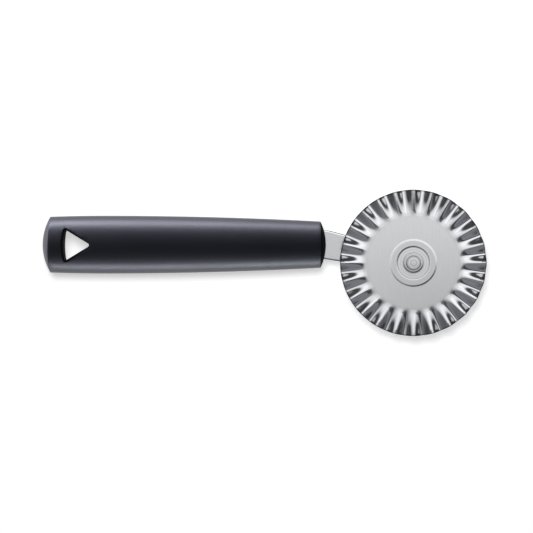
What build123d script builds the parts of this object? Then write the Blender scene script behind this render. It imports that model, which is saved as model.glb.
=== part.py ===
"""Pastry wheel: a fluted sheet wheel that spins on a rivet at the end of a flat steel strip,
with an oval plastic grip moulded round the strip.

Frame: the tool lies on its side as on a table, +Z up, +X along the grip towards the wheel.
The origin is under the middle of the tool's box, on the table. Millimetres.
"""

import os
from math import cos, hypot, pi, sin, sqrt, tan

from build123d import *

os.makedirs("parts", exist_ok=True)

# Layout
nose_to_rim = 5.8  # along the grip, from its front tip to the nearest point of the wheel
wheel_drop = 7.5  # the wheel's axle lies this far to one side of the grip's axis

# Grip
handle_length = 116.5
handle_width = 23.8
handle_thickness = 18.0
belly_from_butt = 25.6
butt_width = 23.0
butt_dome_height = 3.2  # from its tip to its edge at the grip's sides
butt_dome_top = 2.6  # the same, to its edge at the grip's flatter front and back
nose_width = 19.1
nose_dome_height = 2.2
butt_edge_radius = 0.4
nose_edge_radius = 0.6

# Hang hole, a rounded triangle whose tip points at the wheel
hang_hole_from_butt = 8.6
hang_hole_length = 11.7
hang_hole_height = 13.1
hang_hole_drop = 0.25  # its middle lies this far to the wheel's side of the grip's axis
hang_hole_bulge = 0.8
hang_hole_corner = 0.8
hang_hole_edge = 0.7

# Steel strip
tang_thickness = 2.0
tang_mouth_width = 11.8
tang_tip_width = 8.4
tang_embed = 60.0
tang_spine_width = 9.0
tang_corner_width = 0.3  # the steep break at the strip's corners, across its faces
tang_corner_depth = 0.23
tang_edge_width = 0.35  # the shallow break inside it, across the faces, then down the steep break
tang_edge_depth = 0.2
anchor_hole_diameter = 4.5
anchor_hole_inset = 9.0  # from the spine's end, and from the grip's front tip

# Wheel
wheel_diameter = 60.0
sheet_thickness = 0.8
flute_count = 24
flute_depth = 1.1  # from the sheet's middle plane to a crest's middle line
flute_start_radius = 18.2
flute_clearance = 0.55
hub_ring_outer = 18.9
hub_ring_inner = 13.6
hub_ring_height = 0.12
hub_ring_slope = 0.5
hub_ring_radius = 0.2

# Axle and what sits on it
journal_diameter = 4.0
tenon_diameter = 3.2
head_diameter = 6.2
head_height = 1.3
head_dome_height = 0.06
head_crown_width = 0.35  # the head's face falls away near its edge, like the washers'
head_crown_depth = 0.18
head_edge_radius = 0.12
tail_diameter = 5.6
tail_height = 1.2
front_washer_diameter = 8.3
front_washer_thickness = 0.6
spacer_diameter = 10.0
spacer_thickness = 0.6
rear_washer_diameter = 8.0
rear_washer_thickness = 0.6
washer_crown_width = 0.65
washer_crown_depth = 0.12
washer_edge_radius = 0.24
bush_sleeve_diameter = 6.0
bush_flange_diameter = 10.0
bush_lip_diameter = 7.0
bush_lip_height = 0.35

# Clearances
running_clearance = 0.03  # radial, bush on journal
washer_clearance = 0.05  # radial, washers on journal
axial_play = 0.05  # on each side of the wheel's bush

# Places
wheel_radius = wheel_diameter / 2
overall_length = handle_length + nose_to_rim + wheel_diameter
axle_from_butt = handle_length + nose_to_rim + wheel_radius
butt_x = -overall_length / 2
wheel_x = butt_x + axle_from_butt
handle_middle = (butt_x, wheel_drop, handle_thickness / 2)
handle_plane = Plane(origin=handle_middle)
axle = Axis((wheel_x, 0, 0), (0, 0, 1))
axle_section = Plane(origin=(wheel_x, 0, 0), x_dir=(1, 0, 0), z_dir=(0, -1, 0))
tang_front_z = handle_thickness / 2 + tang_thickness / 2
tang_rear_z = handle_thickness / 2 - tang_thickness / 2
spacer_top_z = tang_front_z + spacer_thickness
bush_rear_z = spacer_top_z + axial_play
sheet_rear_z = tang_front_z + flute_depth + flute_clearance
sheet_middle_z = sheet_rear_z + sheet_thickness / 2
bush_front_z = sheet_rear_z + sheet_thickness + bush_lip_height
front_washer_z = bush_front_z + axial_play
head_rear_z = front_washer_z + front_washer_thickness
head_front_z = head_rear_z + head_height
head_crown_z = head_front_z - head_dome_height
head_crown_radius = head_diameter / 2 - head_crown_width
head_rim_z = head_crown_z - head_crown_depth
rear_washer_z = tang_rear_z - rear_washer_thickness
tail_end_z = rear_washer_z - tail_height


# The steel strip. Its arm narrows from the grip to a round end at the axle, its spine is
# moulded into the grip, and the grip's plastic fills the two anchor holes.
spine_end = handle_length - tang_embed
mouth_centre = (handle_length, 0)
axle_centre = (axle_from_butt, -wheel_drop)
rear_anchor = (spine_end + anchor_hole_inset, 0)
front_anchor = (handle_length - anchor_hole_inset, 0)

with BuildPart() as tang:
    with BuildSketch(handle_plane) as tang_outline:
        with BuildLine():
            CenterArc(mouth_centre, tang_mouth_width / 2, 0, 360)
            CenterArc(axle_centre, tang_tip_width / 2, 0, 360)
        make_hull()
        with Locations((spine_end, 0)):
            Rectangle(tang_embed, tang_spine_width, align=(Align.MIN, Align.CENTER))
        with Locations(rear_anchor, front_anchor):
            Circle(anchor_hole_diameter / 2, mode=Mode.SUBTRACT)
        with Locations(axle_centre):
            Circle(tenon_diameter / 2, mode=Mode.SUBTRACT)
    extrude(amount=tang_thickness / 2, both=True)
    for face in tang.faces().filter_by(Axis.Z):
        chamfer(face.outer_wire().edges(), tang_corner_width, tang_corner_depth, reference=face)
    for face in tang.faces().filter_by(Axis.Z):
        chamfer(face.outer_wire().edges(), tang_edge_width, tang_edge_depth, reference=face)
tang.part.label = "tang"
export_step(tang.part, "parts/tang.step")


# The grip: a turned outline pressed to an oval, cut by a dome at its butt and moulded round the
# strip. The dome is pressed less flat than the barrel, so its edge bows out at the front and back.
dome_ball = (butt_dome_height**2 + (butt_width / 2) ** 2) / (2 * butt_dome_height)
dome_reach = sqrt(2 * dome_ball * butt_dome_top - butt_dome_top**2)
dome_press = butt_width / 2 * handle_thickness / handle_width / dome_reach
dome_width = handle_width / 2 + 2
dome_corner = (dome_ball - sqrt(dome_ball**2 - dome_width**2), dome_width)
barrel_overrun = 1.0  # the barrel starts this far behind the dome's tip, and is then trimmed
barrel_reach = (belly_from_butt + barrel_overrun) / (belly_from_butt - butt_dome_height)
barrel_end = (-barrel_overrun, handle_width / 2 - (handle_width - butt_width) / 2 * barrel_reach**2)
belly = (belly_from_butt, handle_width / 2)
nose_corner = (handle_length - nose_dome_height, nose_width / 2)
nose_tip = (handle_length, 0)
hole_base = hang_hole_from_butt + hang_hole_bulge
hole_tip = hang_hole_from_butt + hang_hole_length
hole_top = hang_hole_height / 2 - hang_hole_drop
hole_bottom = -hang_hole_height / 2 - hang_hole_drop

with BuildPart() as butt_dome:
    with BuildSketch(handle_plane):
        with BuildLine():
            TangentArc((0, 0), dome_corner, tangent=(0, 1))
            Polyline(dome_corner, (overall_length, dome_width), (overall_length, 0), (0, 0))
        make_face()
    revolve(axis=Axis(handle_middle, (1, 0, 0)))
    scale(by=(1, 1, dome_press), about=handle_middle)

with BuildPart() as handle:
    with BuildSketch(handle_plane) as handle_outline:
        with BuildLine():
            Line((-barrel_overrun, 0), barrel_end)
            TangentArc(belly, barrel_end, tangent=(-1, 0))
            TangentArc(belly, nose_corner, tangent=(1, 0))
            TangentArc(nose_tip, nose_corner, tangent=(0, 1))
            Line(nose_tip, (-barrel_overrun, 0))
        make_face()
        fillet(handle_outline.vertices().sort_by(Axis.X)[-2], nose_edge_radius)
    revolve(axis=Axis(handle_middle, (1, 0, 0)))
    scale(by=(1, 1, handle_thickness / handle_width), about=handle_middle)
    add(butt_dome.part, mode=Mode.INTERSECT)
    butt_rim = handle.edges().filter_by(lambda edge: edge.is_closed).sort_by(Axis.X)[0]
    fillet(butt_rim, butt_edge_radius)

    with BuildSketch(handle_plane) as hang_hole:
        with BuildLine():
            ThreePointArc(
                (hole_base, hole_top),
                (hang_hole_from_butt, -hang_hole_drop),
                (hole_base, hole_bottom),
            )
            Polyline((hole_base, hole_top), (hole_tip, -hang_hole_drop), (hole_base, hole_bottom))
        make_face()
        fillet(hang_hole.vertices(), hang_hole_corner)
    extrude(amount=handle_thickness, both=True, mode=Mode.SUBTRACT)
    hole_rims = handle.edges(Select.LAST).filter_by(Axis.Z, reverse=True)
    fillet(hole_rims, hang_hole_edge)
    add(tang.part, mode=Mode.SUBTRACT)
handle.part.label = "handle"
export_step(handle.part, "parts/handle.step")


# The wheel: one pressed sheet. A flute is a full wave, crest in the middle, that rises softly out
# of the flat centre and levels off at the rim. The centre has a raised ring round the hub.
half_pitch = pi / flute_count
flute_length = wheel_radius - flute_start_radius
flute_overrun = 1.15  # the wave runs past half a pitch by this factor, and is then trimmed
section_shares = (0, 0.25, 0.5, 0.75, 1.05)  # along the flute, the last one past the rim
wave_steps = 12


def flute_depth_at(radius):
    """Depth of the wave at a distance from the axle."""
    share = (radius - flute_start_radius) / flute_length
    return flute_depth * (3 - 2 * share) * share**2


def sheet_face(radius, side):
    """Points along one face of the waved sheet, side 1 in front and -1 behind."""
    half_width = radius * tan(half_pitch)
    depth = flute_depth_at(radius)
    points = []
    for step in range(-wave_steps, wave_steps + 1):
        share = flute_overrun * step / wave_steps
        slope = -depth * pi / half_width * sin(pi * share)
        shift = side * sheet_thickness / 2 / hypot(1, slope)
        points.append((share * half_width - slope * shift, depth * cos(pi * share) + shift))
    return points


with BuildPart() as flute:
    for share in section_shares:
        radius = flute_start_radius + share * flute_length
        section_plane = Plane(origin=(radius, 0, 0), x_dir=(0, 1, 0), z_dir=(1, 0, 0))
        front_points = sheet_face(radius, 1)
        rear_points = sheet_face(radius, -1)
        with BuildSketch(section_plane):
            with BuildLine():
                Spline(*front_points)
                Line(front_points[-1], rear_points[-1])
                Spline(*rear_points)
                Line(rear_points[0], front_points[0])
            make_face()
    loft()
    with BuildSketch():
        Circle(wheel_radius)
        with BuildLine():
            wedge_edge = wheel_diameter * tan(half_pitch)
            Polyline((0, 0), (wheel_diameter, wedge_edge), (wheel_diameter, -wedge_edge), close=True)
        make_face(mode=Mode.INTERSECT)
    extrude(amount=wheel_diameter, both=True, mode=Mode.INTERSECT)

sheet_bore = bush_sleeve_diameter / 2
ring_steps = (
    (hub_ring_inner / 2 - hub_ring_slope / 2, 0),
    (hub_ring_inner / 2 + hub_ring_slope / 2, hub_ring_height),
    (hub_ring_outer / 2 - hub_ring_slope / 2, hub_ring_height),
    (hub_ring_outer / 2 + hub_ring_slope / 2, 0),
)

with BuildPart() as hub:
    with BuildSketch(Plane.XZ) as hub_section:
        sheet_line = [(sheet_bore, 0), *ring_steps, (wheel_radius, 0)]
        front_line = [(r, z + sheet_thickness / 2) for r, z in sheet_line]
        rear_line = [(r, z - sheet_thickness / 2) for r, z in sheet_line]
        with BuildLine():
            Polyline(*front_line, *rear_line[::-1], close=True)
        make_face()
        bends = hub_section.vertices().filter_by_position(Axis.X, sheet_bore, wheel_radius, (False, False))
        fillet(bends, hub_ring_radius)
    revolve(axis=Axis.Z)
    with BuildSketch():
        RegularPolygon(flute_start_radius, flute_count, major_radius=False, rotation=180 / flute_count)
    extrude(amount=wheel_diameter, both=True, mode=Mode.INTERSECT)

# The skins of the flutes and of the hub, without the cuts where they meet, close into one sheet.
flute_skin = flute.faces().filter_by(GeomType.PLANE, reverse=True)
hub_cuts = hub.faces().filter_by(lambda face: face.geom_type == GeomType.PLANE and face.normal_at().Z == 0)
hub_skin = hub.faces().filter_by(lambda face: face not in hub_cuts)
turns = [Rotation(0, 0, 360 * turn / flute_count) for turn in range(flute_count)]
sheet_skin = hub_skin + [face.moved(turn) for turn in turns for face in flute_skin]
sheet = Solid(Shell(sheet_skin))

with BuildPart() as wheel:
    with Locations((wheel_x, 0, sheet_middle_z)):
        add(sheet)
wheel.part.label = "wheel"
export_step(wheel.part, "parts/wheel.step")


# The bush rolled into the wheel's centre: a flange behind the sheet, a lip in front of it.
bush_bore = journal_diameter / 2 + running_clearance

with BuildPart() as hub_bush:
    with BuildSketch(axle_section):
        with BuildLine():
            Polyline(
                (bush_bore, bush_rear_z),
                (bush_flange_diameter / 2, bush_rear_z),
                (bush_flange_diameter / 2, sheet_rear_z),
                (sheet_bore, sheet_rear_z),
                (sheet_bore, sheet_rear_z + sheet_thickness),
                (bush_lip_diameter / 2, sheet_rear_z + sheet_thickness),
                (bush_lip_diameter / 2, bush_front_z),
                (bush_bore, bush_front_z),
                close=True,
            )
        make_face()
    revolve(axis=axle)
hub_bush.part.label = "hub_bush"
export_step(hub_bush.part, "parts/hub_bush.step")


# The shoulder rivet: head in front, journal for the bush, tenon through the strip, and a tail
# peened over the rear washer. Its shoulder seats on the strip, so the wheel stays free.
with BuildPart() as axle_rivet:
    with BuildSketch(axle_section):
        with BuildLine():
            Polyline(
                (0, head_front_z),
                (0, tail_end_z),
                (tail_diameter / 2, tail_end_z),
                (tail_diameter / 2, rear_washer_z),
                (tenon_diameter / 2, rear_washer_z),
                (tenon_diameter / 2, tang_front_z),
                (journal_diameter / 2, tang_front_z),
                (journal_diameter / 2, head_rear_z),
                (head_diameter / 2, head_rear_z),
                (head_diameter / 2, head_rim_z),
                (head_crown_radius, head_crown_z),
            )
            TangentArc((0, head_front_z), (head_crown_radius, head_crown_z), tangent=(1, 0))
        make_face()
    revolve(axis=axle)
    rivet_rims = axle_rivet.edges().filter_by(lambda edge: edge.is_closed).sort_by(Axis.Z)
    fillet(rivet_rims[-2], head_edge_radius)
    fillet(rivet_rims[0], tail_height / 2)
axle_rivet.part.label = "axle_rivet"
export_step(axle_rivet.part, "parts/axle_rivet.step")


def washer(label, bore_radius, diameter, thickness, height):
    """Ring on the axle, its front crowned and its outer edges rounded, written under its own name."""
    with BuildPart() as ring:
        with BuildSketch(Plane(origin=(wheel_x, 0, height))):
            Circle(diameter / 2)
            Circle(bore_radius, mode=Mode.SUBTRACT)
        extrude(amount=thickness)
        front_face = ring.faces().sort_by(Axis.Z)[-1]
        front_edge = front_face.outer_wire().edges()
        chamfer(front_edge, washer_crown_width, washer_crown_depth, reference=front_face)
        outer_edges = ring.edges().filter_by(GeomType.CIRCLE).sort_by(SortBy.RADIUS)[-2:]
        fillet(outer_edges, washer_edge_radius)
    ring.part.label = label
    export_step(ring.part, f"parts/{label}.step")


journal_bore = journal_diameter / 2 + washer_clearance
washer("front_washer", journal_bore, front_washer_diameter, front_washer_thickness, front_washer_z)
washer("spacer_washer", journal_bore, spacer_diameter, spacer_thickness, tang_front_z)
washer("rear_washer", tenon_diameter / 2, rear_washer_diameter, rear_washer_thickness, rear_washer_z)
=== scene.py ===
import math
import random

import bmesh
import bpy
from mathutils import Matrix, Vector


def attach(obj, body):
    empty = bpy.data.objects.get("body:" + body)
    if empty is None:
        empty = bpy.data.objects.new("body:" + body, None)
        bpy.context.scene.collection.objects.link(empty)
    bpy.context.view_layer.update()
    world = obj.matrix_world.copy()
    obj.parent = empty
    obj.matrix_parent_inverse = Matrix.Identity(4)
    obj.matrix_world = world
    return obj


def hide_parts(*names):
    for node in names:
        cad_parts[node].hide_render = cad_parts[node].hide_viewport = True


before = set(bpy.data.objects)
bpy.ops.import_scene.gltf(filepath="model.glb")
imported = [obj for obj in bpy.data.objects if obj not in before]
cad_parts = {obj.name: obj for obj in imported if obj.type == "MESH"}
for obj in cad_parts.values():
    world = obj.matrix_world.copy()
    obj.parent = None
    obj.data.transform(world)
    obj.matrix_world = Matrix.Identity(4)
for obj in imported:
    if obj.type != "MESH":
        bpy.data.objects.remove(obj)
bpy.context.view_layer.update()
scene = bpy.context.scene
scene.view_settings.view_transform = "Standard"


# Camera
# It stands about a metre above the tool and looks straight down, with the grip level in the
# picture. The view's width is measured at half the grip's height.
mm = 0.001
camera_height = 1.06
view_centre = (0.92 * mm, -1.48 * mm)
view_width = 219.3 * mm
view_plane = 9 * mm
film_width = 36  # in millimetres, as the lens is

bpy.ops.object.camera_add(location=(*view_centre, camera_height), rotation=(0, 0, 0))
camera = bpy.context.object
camera.name = "camera"
camera.data.sensor_width = film_width
camera.data.lens = film_width * (camera_height - view_plane) / view_width
scene.camera = camera


# Floor
# A sheet of matt white paper, wide enough to fill every view. Its lamp brings it part of the way
# to white and leaves the tool's shadow on it. A glow that only the lens and reflections see adds
# the rest, so the white background puts no more light on the tool.
floor_side = 12
floor_colour = "#F4F4F6"
floor_glow = 0.55


def linear(colour):
    """An sRGB hex colour as the linear RGBA that shader sockets take."""
    channels = [int(colour[i : i + 2], 16) / 255 for i in (1, 3, 5)]
    return (*[c / 12.92 if c <= 0.04045 else ((c + 0.055) / 1.055) ** 2.4 for c in channels], 1)


def new_material(name):
    """An empty node material."""
    material = bpy.data.materials.new(name)
    material.use_nodes = True
    material.node_tree.nodes.clear()
    return material


def add_node(material, kind, settings=None, inputs=None):
    """Adds a node. Settings are its own fields, and inputs are values or the sockets that feed them."""
    node = material.node_tree.nodes.new(kind)
    for field, value in (settings or {}).items():
        setattr(node, field, value)
    for socket, value in (inputs or {}).items():
        if isinstance(value, bpy.types.NodeSocket):
            material.node_tree.links.new(value, node.inputs[socket])
        else:
            node.inputs[socket].default_value = value
    return node


bpy.ops.object.select_all(action="DESELECT")
bpy.ops.mesh.primitive_plane_add(size=floor_side, location=(0, 0, 0))
floor = bpy.context.object
floor.name = "floor"

# Matt paper: an even white without a sheen.
paper = new_material("matt_white_paper")
ray = add_node(paper, "ShaderNodeLightPath")
seen = add_node(
    paper,
    "ShaderNodeMath",
    {"operation": "MAXIMUM"},
    {0: ray.outputs["Is Camera Ray"], 1: ray.outputs["Is Glossy Ray"]},
)
seen_or_through = add_node(
    paper,
    "ShaderNodeMath",
    {"operation": "MAXIMUM"},
    {0: seen.outputs[0], 1: ray.outputs["Is Transmission Ray"]},
)
glow = add_node(
    paper,
    "ShaderNodeMath",
    {"operation": "MULTIPLY"},
    {0: seen_or_through.outputs[0], 1: floor_glow},
)
paper_shader = add_node(
    paper,
    "ShaderNodeBsdfPrincipled",
    inputs={
        "Base Color": linear(floor_colour),
        "Roughness": 0.95,
        "Specular IOR Level": 0.1,
        "Emission Color": linear("#FFFFFF"),
        "Emission Strength": glow.outputs[0],
    },
)
add_node(paper, "ShaderNodeOutputMaterial", inputs={"Surface": paper_shader.outputs[0]})
floor.data.materials.append(paper)


# Lights
# Soft boxes in a dim studio, each flagged so that it reaches only the paper, the steel or the
# grip. The steel mirrors a large graded box, a weak fill, a dim sky and a black card beside the
# lens. The grip has a strip along each side and one beyond its butt.
floor_receivers = bpy.data.collections.new("lit_floor")
steel_receivers = bpy.data.collections.new("lit_steel")
grip_receivers = bpy.data.collections.new("lit_grip")
floor_receivers.objects.link(floor)


def softbox(name, middle, aim, width, height, radiance, colour, receivers):
    """Adds a rectangular lamp at a place, facing another, that reaches only the receivers."""
    bpy.ops.object.light_add(type="AREA", location=middle)
    lamp = bpy.context.object
    lamp.name = name
    lamp.rotation_euler = (Vector(aim) - Vector(middle)).to_track_quat("-Z", "Y").to_euler()
    lamp.data.shape = "RECTANGLE"
    lamp.data.size = width
    lamp.data.size_y = height
    lamp.data.energy = radiance * math.pi * width * height
    lamp.data.color = linear(colour)[:3]
    lamp.light_linking.receiver_collection = receivers
    return lamp


def grey(level):
    """A grey of that linear level, as a colour that shader sockets take."""
    return (level, level, level, 1)


def set_stops(ramp, stops):
    """Gives a new colour ramp its stops, each a share of the ramp's length and a colour."""
    first, *between, last = stops
    ramp.elements[0].position, ramp.elements[0].color = first
    ramp.elements[1].position, ramp.elements[1].color = last
    for at, colour in between:
        ramp.elements.new(at).color = colour


def fade_cloth(lamp, across, along):
    """Gives a soft box a graded cloth, by stops of place in metres and share of its radiance."""
    cloth = lamp.data
    cloth.use_nodes = True
    place = add_node(cloth, "ShaderNodeNewGeometry")
    sides = add_node(cloth, "ShaderNodeSeparateXYZ", inputs={0: place.outputs["Parametric"]})
    fades = []
    for side, stops in (("X", across), ("Y", along)):
        start, end = stops[0][0], stops[-1][0]
        fade = add_node(cloth, "ShaderNodeValToRGB", inputs={"Fac": sides.outputs[side]})
        set_stops(fade.color_ramp, [((at - start) / (end - start), grey(share)) for at, share in stops])
        fades.append(fade.outputs["Color"])
    faded = add_node(cloth, "ShaderNodeMath", {"operation": "MULTIPLY"}, {0: fades[0], 1: fades[1]})
    cloth.node_tree.links.new(faded.outputs[0], cloth.node_tree.nodes["Emission"].inputs["Strength"])


softbox(
    "floor_lamp", middle=(-0.11, 0.305, 1.3), aim=(0, 0, 0),
    width=0.42, height=0.42, radiance=17.2, colour="#FFFFFF", receivers=floor_receivers,
)
fill = softbox(
    "steel_fill", middle=(0.06, -0.75, 0.65), aim=(0.06, 0, 0),
    width=4.0, height=1.7, radiance=0.22, colour="#F5F6FF", receivers=steel_receivers,
)
softbox(
    "steel_sky", middle=(0, 0, 3), aim=(0, 0, 0),
    width=24, height=24, radiance=0.04, colour="#F5F6FF", receivers=steel_receivers,
)
grip_back = softbox(
    "grip_back", middle=(-0.04, 0.6, 0.12), aim=(-0.04, 0, 0.01),
    width=1.0, height=0.24, radiance=17.0, colour="#EBEDFF", receivers=grip_receivers,
)
grip_front = softbox(
    "grip_front", middle=(-0.04, -0.6, 0.07), aim=(-0.04, 0, 0.01),
    width=1.0, height=0.15, radiance=20.0, colour="#EBEFFF", receivers=grip_receivers,
)
softbox(
    "grip_butt", middle=(-0.8, 0.26, 0.05), aim=(-0.09, 0.0075, 0.01),
    width=0.6, height=0.1, radiance=34.0, colour="#EBEDFF", receivers=grip_receivers,
)

# The grip's highlights fade towards the nose on its back and towards the butt on its front.
fade_cloth(
    grip_back,
    across=((-0.5, 0.15), (-0.12, 0.5), (0.06, 1.0), (0.5, 1.0)),
    along=((-0.12, 1.0), (0.12, 1.0)),
)
fade_cloth(
    grip_front,
    across=((-0.5, 0.1), (-0.2, 0.6), (-0.06, 1.0), (0.06, 0.85), (0.5, 0.7)),
    along=((-0.075, 1.0), (-0.02, 1.0), (0.075, 0.5)),
)
fade_cloth(
    fill,
    across=(
        (-2.0, 0.2), (-1.4, 0.35), (-0.85, 0.6), (-0.4, 1.0),
        (0.5, 1.0), (0.9, 0.9), (1.5, 0.45), (2.0, 0.3),
    ),
    along=((-0.85, 0.1), (-0.65, 0.5), (-0.42, 1.0), (0.85, 1.0)),
)

# The large box hangs level above the wheel, and its stops are counted from the wheel's axle.
key_across = (
    (-2.4, 0.0), (-1.6, 0.4), (-0.9, 0.68), (-0.2, 0.9),
    (0.4, 1.0), (1.0, 0.85), (1.7, 0.55), (2.6, 0.0),
)
key_along = (
    (-0.3, 0.0), (-0.06, 0.64), (0.1, 0.79), (0.6, 1.0), (1.0, 1.0),
    (1.25, 0.85), (1.5, 0.45), (1.75, 0.1), (2.2, 0.0),
)
key_origin = 0.061
key_height = 1.2
key_width = key_across[-1][0] - key_across[0][0]
key_depth = key_along[-1][0] - key_along[0][0]
key_middle = (key_across[0][0] + key_width / 2 + key_origin, key_along[0][0] + key_depth / 2)
key = softbox(
    "steel_key", middle=(*key_middle, key_height), aim=(*key_middle, 0),
    width=key_width, height=key_depth, radiance=1.485, colour="#FFFFFF", receivers=steel_receivers,
)
fade_cloth(key, key_across, key_along)

# A matt black card, pierced so that a quarter of the light comes through, stands beside the lens.
# It gives the polished flutes their darkest patches.
card_black = "#060606"
card_middle = Vector((0.335, -0.275, 0.88))
card_side = 0.46
card_cover = 0.75
bpy.ops.mesh.primitive_plane_add(size=card_side, location=card_middle)
card = bpy.context.object
card.name = "black_card"
card.rotation_euler = card_middle.to_track_quat("Z", "Y").to_euler()
card.visible_camera = False
black_card = new_material("matt_black_card")
card_shader = add_node(
    black_card,
    "ShaderNodeBsdfPrincipled",
    inputs={
        "Base Color": linear(card_black),
        "Roughness": 0.95,
        "Specular IOR Level": 0.1,
        "Alpha": card_cover,
    },
)
add_node(black_card, "ShaderNodeOutputMaterial", inputs={"Surface": card_shader.outputs[0]})
card.data.materials.append(black_card)

studio_level = 0.04
studio = bpy.data.worlds.new("dim_studio")
studio.use_nodes = True
studio.node_tree.nodes["Background"].inputs["Color"].default_value = linear("#FFFFFF")
studio.node_tree.nodes["Background"].inputs["Strength"].default_value = studio_level
scene.world = studio


# Grip
# One piece of black acetal, injection moulded round the steel strip, with a satin spark-eroded
# skin. The mould closes on its sides, and a core leaves the hang hole. The core and the nose
# were left coarser in the mould, so the hole's wall and the nose's face are matt.
grip_black = "#26272B"
# The nose's face and the hole's wall take this darker black as painted shade.
nose_and_hole_shade_black = "#08080A"
nose_start = 22.4 * mm
nose_facing = 0.55  # a face there that looks forward more than this belongs to the nose's face
hole_middle = (-77.5 * mm, 7.25 * mm)
hole_reach = 9 * mm
barrel_facing = 0.98  # a face there that follows the barrel less than this belongs to the hole
grip_middle = Vector((0, 7.5 * mm, 9 * mm))
grip_half = (11.9 * mm, 9 * mm)  # across and up
parting_height = 9.0 * mm
parting_width = 0.1 * mm
skin_grain = 0.45 * mm
core_pits = 0.3 * mm
handled_patch = (30 * mm, 9 * mm, 9 * mm)  # along, across and up, of a patch that hands have rubbed

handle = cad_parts["handle"]
grip = bpy.data.objects.new("moulded_grip", handle.data.copy())
scene.collection.objects.link(grip)
bpy.ops.object.select_all(action="DESELECT")
grip.select_set(True)
bpy.context.view_layer.objects.active = grip
bpy.ops.object.mode_set(mode="EDIT")
bpy.ops.mesh.select_all(action="SELECT")
bpy.ops.mesh.remove_doubles(threshold=0.001 * mm)
bpy.ops.object.mode_set(mode="OBJECT")
grip_receivers.objects.link(grip)

# Satin acetal: near black, with soft wide highlights and a trace of the mould's joint. The
# eroded grain is drawn about four times coarser than the real one, so that it shows.
acetal = new_material("moulded_black_acetal")
place = add_node(acetal, "ShaderNodeTexCoord")
grain = add_node(
    acetal,
    "ShaderNodeTexNoise",
    inputs={"Vector": place.outputs["Object"], "Scale": 1 / skin_grain, "Detail": 2, "Roughness": 0.6},
)
grain_relief = add_node(
    acetal,
    "ShaderNodeBump",
    inputs={"Height": grain.outputs["Fac"], "Strength": 0.2, "Distance": 0.05 * mm},
)
axes = add_node(acetal, "ShaderNodeSeparateXYZ", inputs={0: place.outputs["Object"]})
from_joint = add_node(
    acetal,
    "ShaderNodeMath",
    {"operation": "SUBTRACT"},
    {0: axes.outputs["Z"], 1: parting_height},
)
off_joint = add_node(acetal, "ShaderNodeMath", {"operation": "ABSOLUTE"}, {0: from_joint.outputs[0]})
joint_line = add_node(
    acetal,
    "ShaderNodeMapRange",
    {"interpolation_type": "SMOOTHSTEP"},
    {"Value": off_joint.outputs[0], "From Min": 0, "From Max": parting_width, "To Min": 1, "To Max": 0},
)
joint_relief = add_node(
    acetal,
    "ShaderNodeBump",
    inputs={
        "Height": joint_line.outputs["Result"],
        "Strength": 0.6,
        "Distance": 0.04 * mm,
        "Normal": grain_relief.outputs["Normal"],
    },
)
long_patches = add_node(
    acetal,
    "ShaderNodeMapping",
    inputs={"Vector": place.outputs["Object"], "Scale": [1 / side for side in handled_patch]},
)
handling = add_node(
    acetal,
    "ShaderNodeTexNoise",
    inputs={"Vector": long_patches.outputs["Vector"], "Scale": 1, "Detail": 3},
)
sheen = add_node(
    acetal,
    "ShaderNodeMapRange",
    inputs={
        "Value": handling.outputs["Fac"],
        "From Min": 0.3,
        "From Max": 0.7,
        "To Min": 0.4,
        "To Max": 0.45,
    },
)
acetal_shader = add_node(
    acetal,
    "ShaderNodeBsdfPrincipled",
    inputs={
        "Base Color": linear(grip_black),
        "Roughness": sheen.outputs["Result"],
        "Normal": joint_relief.outputs["Normal"],
    },
)
add_node(acetal, "ShaderNodeOutputMaterial", inputs={"Surface": acetal_shader.outputs[0]})

# Matt acetal: the coarse mould skin scatters nearly everything, so it stays black at low angles too.
# Its colour, darker than the rest of the grip's, is painted shade on the nose's face and the hole's
# wall.
coarse_acetal_with_shade = new_material("coarse_acetal_painted_shade")
place = add_node(coarse_acetal_with_shade, "ShaderNodeTexCoord")
pits = add_node(
    coarse_acetal_with_shade,
    "ShaderNodeTexNoise",
    inputs={"Vector": place.outputs["Object"], "Scale": 1 / core_pits, "Detail": 3, "Roughness": 0.7},
)
pit_relief = add_node(
    coarse_acetal_with_shade,
    "ShaderNodeBump",
    inputs={"Height": pits.outputs["Fac"], "Strength": 0.4, "Distance": 0.06 * mm},
)
coarse_shader = add_node(
    coarse_acetal_with_shade,
    "ShaderNodeBsdfPrincipled",
    inputs={
        "Base Color": linear(nose_and_hole_shade_black),
        "Roughness": 0.85,
        "Specular IOR Level": 0.1,
        "Normal": pit_relief.outputs["Normal"],
    },
)
add_node(coarse_acetal_with_shade, "ShaderNodeOutputMaterial", inputs={"Surface": coarse_shader.outputs[0]})

grip.data.materials.clear()
grip.data.materials.append(acetal)
grip.data.materials.append(coarse_acetal_with_shade)
for face in grip.data.polygons:
    on_nose = face.center.x > nose_start and face.normal.x > nose_facing
    out = face.center - grip_middle
    barrel = Vector((0, out.y / grip_half[0] ** 2, out.z / grip_half[1] ** 2)).normalized()
    near_hole = math.dist(face.center.xy, hole_middle) < hole_reach
    in_hole = near_hole and face.normal.dot(barrel) < barrel_facing
    face.material_index = 1 if on_nose or in_hole else 0
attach(grip, "grip")
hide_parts("handle")


# Strip
# Flat stainless strip, blanked, ground along its length and broken at its edges, then moulded
# into the grip. Its sheared sides are grey. The steep break along each edge is painted dark as
# shade, and the shallow break inside that is painted bright as a highlight.
steel_grey = "#CBCCCE"
sheared_grey = "#9A9B9E"
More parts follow.
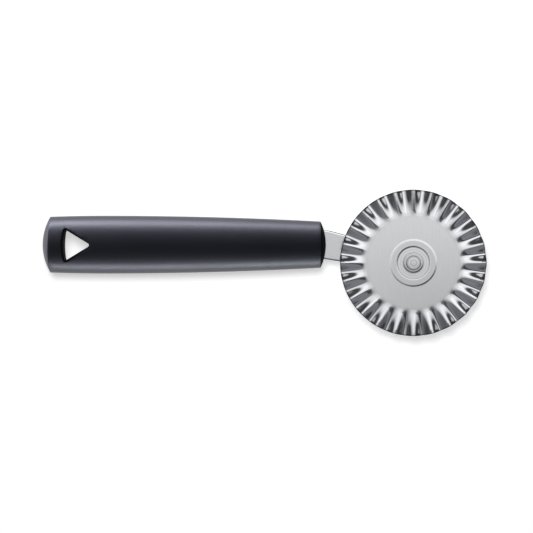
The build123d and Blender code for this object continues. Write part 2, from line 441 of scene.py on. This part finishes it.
# The next two greys are painted shade and painted highlight for the strip's edge breaks.
strip_painted_shade_grey = "#3A3B3E"
strip_painted_highlight_grey = "#E6E7E9"
axle_x = 61.15 * mm
strip_start = Vector((25.35 * mm, 7.5 * mm))
strip_half_widths = (5.9 * mm, 4.2 * mm)  # at the grip and at the axle
strip_run = Vector((axle_x, 0)) - strip_start
strip_slope = -math.atan2(strip_run.y, strip_run.x)
strip_narrowing = (strip_half_widths[1] - strip_half_widths[0]) / strip_run.length
edge_shade_and_highlight_by_inset = (  # distance in from the strip's side in mm, and the steel's colour there
    (0.03, sheared_grey), (0.05, strip_painted_shade_grey), (0.22, strip_painted_shade_grey),
    (0.3, strip_painted_highlight_grey), (0.55, strip_painted_highlight_grey), (0.7, steel_grey),
)
edge_reach = 1.0 * mm
grit_lines = (9 * mm, 0.25 * mm, 0.25 * mm)  # length, width and depth of a grinding line


def grade_over(material, distance, reach, stops):
    """Grades a colour over a distance up to its reach, by stops of millimetres and colour."""
    share = add_node(
        material,
        "ShaderNodeMapRange",
        inputs={"Value": distance, "From Min": 0, "From Max": reach},
    )
    graded = add_node(material, "ShaderNodeValToRGB", inputs={"Fac": share.outputs["Result"]})
    set_stops(graded.color_ramp, [(at * mm / reach, colour) for at, colour in stops])
    return graded


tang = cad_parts["tang"]
steel_receivers.objects.link(tang)

# Ground stainless: a soft satin that streaks along the strip. The grinding lines are drawn about
# five times coarser than the real ones, so that they show.
ground_steel = new_material("ground_stainless_strip")
place = add_node(ground_steel, "ShaderNodeTexCoord")
along_strip = add_node(
    ground_steel,
    "ShaderNodeMapping",
    inputs={
        "Vector": place.outputs["Object"],
        "Location": (-axle_x * math.cos(strip_slope), -axle_x * math.sin(strip_slope), 0),
        "Rotation": (0, 0, strip_slope),
    },
)
strip_scale = add_node(
    ground_steel,
    "ShaderNodeMapping",
    inputs={"Vector": along_strip.outputs["Vector"], "Scale": [1 / side for side in grit_lines]},
)
strip_grain = add_node(
    ground_steel,
    "ShaderNodeTexNoise",
    inputs={"Vector": strip_scale.outputs["Vector"], "Scale": 1, "Detail": 3, "Roughness": 0.6},
)
strip_relief = add_node(
    ground_steel,
    "ShaderNodeBump",
    inputs={"Height": strip_grain.outputs["Fac"], "Strength": 0.3, "Distance": 0.01 * mm},
)
strip_satin = add_node(
    ground_steel,
    "ShaderNodeMapRange",
    inputs={
        "Value": strip_grain.outputs["Fac"],
        "From Min": 0.3,
        "From Max": 0.7,
        "To Min": 0.28,
        "To Max": 0.34,
    },
)
strip_axes = add_node(ground_steel, "ShaderNodeSeparateXYZ", inputs={0: along_strip.outputs["Vector"]})
half_width = add_node(
    ground_steel,
    "ShaderNodeMath",
    {"operation": "MULTIPLY_ADD"},
    {0: strip_axes.outputs["X"], 1: strip_narrowing, 2: strip_half_widths[1]},
)
off_middle = add_node(
    ground_steel,
    "ShaderNodeMath",
    {"operation": "ABSOLUTE"},
    {0: strip_axes.outputs["Y"]},
)
inset = add_node(
    ground_steel,
    "ShaderNodeMath",
    {"operation": "SUBTRACT"},
    {0: half_width.outputs[0], 1: off_middle.outputs[0]},
)
# Painted shade in the steep break and a painted highlight inside it, along both edges of the strip.
painted_edge_lines = grade_over(
    ground_steel,
    inset.outputs[0],
    edge_reach,
    [(at, linear(colour)) for at, colour in edge_shade_and_highlight_by_inset],
)
ground_shader = add_node(
    ground_steel,
    "ShaderNodeBsdfPrincipled",
    inputs={
        "Base Color": painted_edge_lines.outputs["Color"],
        "Metallic": 1,
        "Roughness": strip_satin.outputs["Result"],
        "Normal": strip_relief.outputs["Normal"],
    },
)
add_node(ground_steel, "ShaderNodeOutputMaterial", inputs={"Surface": ground_shader.outputs[0]})
tang.material_slots[0].material = ground_steel


# Wheel
# One disc of thin stainless sheet, pressed between dies that raise a ring round the hub and bend
# 24 flutes with creased crests into the rim. The slightly crowned centre keeps its satin, and the
# dies burnish the flutes and the ring's walls. No two flutes come out quite alike.
satin_greys = ("#CACBCD", "#D0D1D3")
recess_greys = ("#C9CACC", "#DEDFE1")
rubbed_greys = ("#BDBEC0", "#DCDDE0")
sheet_middle = 12.05 * mm
sheet_thickness = 0.8 * mm
rim_break = 0.28 * mm
flutes = 24
points_per_flute = 4
smoothing_steps = 2
bore_radius = 3.0 * mm
crown = 0.0005  # how far the sheet falls away from its middle, in mm for each mm of radius squared
hub_rings = (  # radius and height in mm
    (4.6, 0), (6.3, 0), (6.5, 0), (7.0, 0.1), (7.2, 0.1), (8.1, 0.1),
    (9.0, 0.1), (9.2, 0.1), (9.7, 0), (9.9, 0), (12.0, 0), (14.5, 0), (17.0, 0),
)
flute_rings = (18.0, 18.7, 19.4, 20.1, 21.2, 22.8, 24.4, 26.0, 27.6, 29.2, 30.15)  # radius in mm
flute_bends = ((19.4, 6.3), (20.7, 6.3), (24.9, -4.3), (27.0, -4.3))  # radius in mm, bend in degrees
bend_place_spread = 0.45  # how far a bend's radius strays, in mm
bend_shares = (0.94, 1.06)  # the least and the most of its angle that a bend gets
crest_creases = ((21, 0.2), (24, 0.05), (25.5, 0.05), (27, 0.05))  # radius in mm, added sharpness
spine_reach = 0.4 * mm  # a point nearer than this to a spine's line is on that spine
press_seed = 24
gloss_by_radius = (  # radius in mm, and roughness
    (3.0, 0.34), (6.2, 0.34), (6.5, 0.2), (7.0, 0.2), (7.3, 0.3), (8.9, 0.3), (9.2, 0.2),
    (9.7, 0.2), (10.0, 0.3), (19.0, 0.29), (19.8, 0.16), (21.0, 0.13), (29.5, 0.11),
)
wheel_painted_shade_by_radius = (  # radius in mm, and the share of the steel's colour that the painted shade leaves
    (6.3, 1), (6.5, 0.5), (6.7, 0.5), (6.85, 1), (7.2, 0.95), (8.8, 0.95), (9.2, 1),
    (18.4, 1), (19.2, 0.94), (20.2, 0.9), (21.2, 1), (29.5, 1), (29.8, 0.26),
)
wheel_reach = 31.0 * mm
recess_edge = (6.1 * mm, 6.5 * mm)  # where the recess's rings start to fade and where they are gone
recess_pitch = 0.9 * mm
rubbed_from = (19.5 * mm, 22 * mm)  # where the rub marks start and where they are full
rub_radius = 27 * mm
rub_pitch = 0.6 * mm  # at that radius
satin_lines = (0.5 * mm, 8 * mm)  # width and length of a line in the sheet's satin


def select_points(piece, wanted):
    """Selects the points of a piece in edit mode whose place passes the test."""
    points = bmesh.from_edit_mesh(piece.data)
    for point in points.verts:
        point.select = wanted(point.co)
    points.select_flush_mode()
    bmesh.update_edit_mesh(piece.data)


wheel_middle = Vector((axle_x, 0, sheet_middle))
bpy.ops.object.select_all(action="DESELECT")
bpy.ops.mesh.primitive_circle_add(
    vertices=flutes * points_per_flute, radius=bore_radius, location=wheel_middle
)
wheel = bpy.context.object
wheel.name = "fluted_wheel"
bpy.ops.object.transform_apply(location=True, rotation=True, scale=True)
bpy.ops.object.mode_set(mode="EDIT")
ring_radius, ring_height = bore_radius, 0
for radius, height in [*hub_rings, *[(r, 0) for r in flute_rings]]:
    radius, height = radius * mm, (height - crown * radius**2) * mm
    bpy.ops.mesh.extrude_region_move(TRANSFORM_OT_translate={"value": (0, 0, height - ring_height)})
    growth = radius / ring_radius
    bpy.ops.transform.resize(value=(growth, growth, 1), center_override=wheel_middle)
    ring_radius, ring_height = radius, height

# Each spine in turn is bent up for a crest or down for a valley, and the wheel is turned on to
# the next, as on a dividing head. Without a window a positive turn about Y lifts what is at +X.
press = random.Random(press_seed)
for spine in range(flutes * 2):
    side = 1 if spine % 2 == 0 else -1
    last_radius, slope, height = 0, 0, 0
    for bend_radius, bend in flute_bends:
        bend_radius = (bend_radius + press.uniform(-bend_place_spread, bend_place_spread)) * mm
        bend = math.radians(bend) * press.uniform(*bend_shares)
        height += (bend_radius - last_radius) * math.tan(slope)
        select_points(wheel, lambda p: p.x - axle_x > bend_radius and abs(p.y) < spine_reach)
        bpy.ops.transform.rotate(
            value=side * bend,
            orient_axis="Y",
            center_override=wheel_middle + Vector((bend_radius, 0, side * height)),
        )
        last_radius, slope = bend_radius, slope + bend
    if side > 0:
        for crease_radius, sharpness in crest_creases:
            select_points(wheel, lambda p: p.x - axle_x > crease_radius * mm and abs(p.y) < spine_reach)
            bpy.ops.transform.edge_crease(value=sharpness)
    bpy.ops.mesh.select_all(action="SELECT")
    bpy.ops.transform.rotate(value=math.pi / flutes, orient_axis="Z", center_override=wheel_middle)
bpy.ops.mesh.normals_make_consistent(inside=False)
bpy.ops.object.mode_set(mode="OBJECT")

smoothing = wheel.modifiers.new("smoothing", "SUBSURF")
smoothing.levels = smoothing_steps
smoothing.render_levels = smoothing_steps
bpy.ops.object.modifier_apply(modifier="smoothing")
wall = wheel.modifiers.new("wall", "SOLIDIFY")
wall.thickness = sheet_thickness
wall.offset = 0
wall.use_even_offset = True
bpy.ops.object.modifier_apply(modifier="wall")
broken_edge = wheel.modifiers.new("broken_edge", "BEVEL")
broken_edge.width = rim_break
broken_edge.segments = 3
broken_edge.limit_method = "ANGLE"
broken_edge.angle_limit = math.radians(60)
bpy.ops.object.modifier_apply(modifier="broken_edge")
bpy.ops.object.shade_smooth_by_angle(angle=math.radians(40))
steel_receivers.objects.link(wheel)


def from_axle(material, height):
    """Adds the place from a point on the axle, the same laid flat, and the distance from the axle."""
    place = add_node(material, "ShaderNodeTexCoord")
    centred = add_node(
        material,
        "ShaderNodeMapping",
        inputs={"Vector": place.outputs["Object"], "Location": (-axle_x, 0, -height)},
    )
    flat = add_node(
        material,
        "ShaderNodeVectorMath",
        {"operation": "MULTIPLY"},
        {0: centred.outputs["Vector"], 1: (1, 1, 0)},
    )
    radius = add_node(
        material,
        "ShaderNodeVectorMath",
        {"operation": "LENGTH"},
        {0: flat.outputs["Vector"]},
    )
    return centred.outputs["Vector"], flat.outputs["Vector"], radius.outputs["Value"]


def ring_scale(pitch):
    """The scale at which a wave texture's rings are a pitch apart. At 1 they are pi / 10 apart."""
    return math.pi / 10 / pitch


# Pressed stainless sheet: a straight satin on the disc, brighter and sharper on the flutes and on
# the ring's walls, where the dies rubbed, with rub marks that run out to the rim. Painted shade
# darkens the recess's corner, the raised ring's top a little, the flutes' roots and the rim. The
# satin's lines and the rings in the recess are drawn several times coarser than the real ones, so that
# they show.
pressed_steel = new_material("pressed_stainless_sheet")
centred, flat_place, radius_here = from_axle(pressed_steel, sheet_middle)
burnish = grade_over(
    pressed_steel,
    radius_here,
    wheel_reach,
    [(radius, grey(roughness)) for radius, roughness in gloss_by_radius],
)
burnish.color_ramp.interpolation = "EASE"
direction = add_node(pressed_steel, "ShaderNodeVectorMath", {"operation": "NORMALIZE"}, {0: flat_place})
rub_place = add_node(
    pressed_steel,
    "ShaderNodeVectorMath",
    {"operation": "SCALE"},
    {0: direction.outputs["Vector"], "Scale": rub_radius / rub_pitch},
)
rub_marks = add_node(
    pressed_steel,
    "ShaderNodeTexNoise",
    inputs={"Vector": rub_place.outputs["Vector"], "Scale": 1, "Detail": 3, "Roughness": 0.6},
)
rub_spread = add_node(
    pressed_steel,
    "ShaderNodeMapRange",
    inputs={
        "Value": rub_marks.outputs["Fac"],
        "From Min": 0.3,
        "From Max": 0.7,
        "To Min": -0.03,
        "To Max": 0.03,
    },
)
on_flutes = add_node(
    pressed_steel,
    "ShaderNodeMapRange",
    inputs={"Value": radius_here, "From Min": rubbed_from[0], "From Max": rubbed_from[1]},
)
sheet_gloss = add_node(
    pressed_steel,
    "ShaderNodeMath",
    {"operation": "MULTIPLY_ADD"},
    {0: rub_spread.outputs["Result"], 1: on_flutes.outputs["Result"], 2: burnish.outputs["Color"]},
)
grain_place = add_node(
    pressed_steel,
    "ShaderNodeMapping",
    inputs={"Vector": centred, "Scale": (1 / satin_lines[0], 1 / satin_lines[1], 0)},
)
sheet_grain = add_node(
    pressed_steel,
    "ShaderNodeTexNoise",
    inputs={"Vector": grain_place.outputs["Vector"], "Scale": 1, "Detail": 3, "Roughness": 0.65},
)
sheet_relief = add_node(
    pressed_steel,
    "ShaderNodeBump",
    inputs={"Height": sheet_grain.outputs["Fac"], "Strength": 0.5, "Distance": 0.004 * mm},
)
draw_marks = add_node(
    pressed_steel,
    "ShaderNodeBump",
    inputs={
        "Height": rub_marks.outputs["Fac"],
        "Strength": on_flutes.outputs["Result"],
        "Distance": 0.006 * mm,
        "Normal": sheet_relief.outputs["Normal"],
    },
)
sheet_tint = add_node(pressed_steel, "ShaderNodeValToRGB", inputs={"Fac": sheet_grain.outputs["Fac"]})
set_stops(sheet_tint.color_ramp, ((0.3, linear(satin_greys[0])), (0.7, linear(satin_greys[1]))))
recess_rings = add_node(
    pressed_steel,
    "ShaderNodeTexWave",
    {"wave_type": "RINGS", "rings_direction": "Z"},
    {"Vector": centred, "Scale": ring_scale(recess_pitch), "Distortion": 0.6, "Detail": 1},
)
recess_tint = add_node(pressed_steel, "ShaderNodeValToRGB", inputs={"Fac": recess_rings.outputs["Fac"]})
set_stops(recess_tint.color_ramp, ((0, linear(recess_greys[0])), (1, linear(recess_greys[1]))))
in_recess = add_node(
    pressed_steel,
    "ShaderNodeMapRange",
    inputs={
        "Value": radius_here,
        "From Min": recess_edge[0],
        "From Max": recess_edge[1],
        "To Min": 1,
        "To Max": 0,
    },
)
face_tint = add_node(
    pressed_steel,
    "ShaderNodeMixRGB",
    inputs={
        0: in_recess.outputs["Result"],
        1: sheet_tint.outputs["Color"],
        2: recess_tint.outputs["Color"],
    },
)
# Painted shade by radius: the recess's corner, the raised ring's top, the flutes' roots and the rim come
# out darker.
wheel_painted_shade = grade_over(
    pressed_steel,
    radius_here,
    wheel_reach,
    [(radius, grey(share)) for radius, share in wheel_painted_shade_by_radius],
)
rub_tint = add_node(pressed_steel, "ShaderNodeValToRGB", inputs={"Fac": rub_marks.outputs["Fac"]})
set_stops(rub_tint.color_ramp, ((0.3, linear(rubbed_greys[0])), (0.7, linear(rubbed_greys[1]))))
fluted_tint = add_node(
    pressed_steel,
    "ShaderNodeMixRGB",
    inputs={0: on_flutes.outputs["Result"], 1: face_tint.outputs["Color"], 2: rub_tint.outputs["Color"]},
)
whole_tint = add_node(
    pressed_steel,
    "ShaderNodeMixRGB",
    {"blend_type": "MULTIPLY"},
    {0: 1, 1: fluted_tint.outputs["Color"], 2: wheel_painted_shade.outputs["Color"]},
)
pressed_shader = add_node(
    pressed_steel,
    "ShaderNodeBsdfPrincipled",
    inputs={
        "Base Color": whole_tint.outputs["Color"],
        "Metallic": 1,
        "Roughness": sheet_gloss.outputs[0],
        "Normal": draw_marks.outputs["Normal"],
    },
)
add_node(pressed_steel, "ShaderNodeOutputMaterial", inputs={"Surface": pressed_shader.outputs[0]})
wheel.data.materials.append(pressed_steel)
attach(wheel, "cutter")
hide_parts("wheel")


# Axle and its washers
# Turned stainless: a shoulder rivet, a bush rolled into the wheel, and plain washers. Painted shade
# darkens the rivet's head a little and more round its edge, and the front washer towards its own edge.
ring_greys = ("#B6B7B9", "#D9DADC")
ring_pitch = 1.2 * mm
head_painted_shade_by_radius = (  # radius in mm, and the share of the steel's colour that the painted shade leaves
    (0.2, 0.88), (2.4, 0.9), (2.7, 0.6), (3.0, 0.6), (3.2, 1), (3.6, 0.9), (4.2, 0.8),
)
head_reach = 6 * mm

# Turned stainless: a satin with faint rings, drawn at three times their real pitch so that they show.
turned_steel = new_material("turned_stainless")
centred, flat_place, radius_here = from_axle(turned_steel, 0)
tool_rings = add_node(
    turned_steel,
    "ShaderNodeTexWave",
    {"wave_type": "RINGS", "rings_direction": "Z"},
    {"Vector": centred, "Scale": ring_scale(ring_pitch), "Distortion": 0.4, "Detail": 1},
)
ring_tint = add_node(turned_steel, "ShaderNodeValToRGB", inputs={"Fac": tool_rings.outputs["Fac"]})
set_stops(ring_tint.color_ramp, ((0, linear(ring_greys[0])), (1, linear(ring_greys[1]))))
ring_satin = add_node(
    turned_steel,
    "ShaderNodeMapRange",
    inputs={"Value": tool_rings.outputs["Fac"], "To Min": 0.2, "To Max": 0.26},
)
# Painted shade by radius: the rivet's head a little darker, more round its edge, and the front washer
# darker towards its own edge.
head_painted_shade = grade_over(
    turned_steel,
    radius_here,
    head_reach,
    [(radius, grey(share)) for radius, share in head_painted_shade_by_radius],
)
rings_and_painted_shade_tint = add_node(
    turned_steel,
    "ShaderNodeMixRGB",
    {"blend_type": "MULTIPLY"},
    {0: 1, 1: ring_tint.outputs["Color"], 2: head_painted_shade.outputs["Color"]},
)
turned_shader = add_node(
    turned_steel,
    "ShaderNodeBsdfPrincipled",
    inputs={
        "Base Color": rings_and_painted_shade_tint.outputs["Color"],
        "Metallic": 1,
        "Roughness": ring_satin.outputs["Result"],
    },
)
add_node(turned_steel, "ShaderNodeOutputMaterial", inputs={"Surface": turned_shader.outputs[0]})
for name in ("axle_rivet", "front_washer", "spacer_washer", "rear_washer", "hub_bush"):
    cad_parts[name].material_slots[0].material = turned_steel
    steel_receivers.objects.link(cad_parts[name])
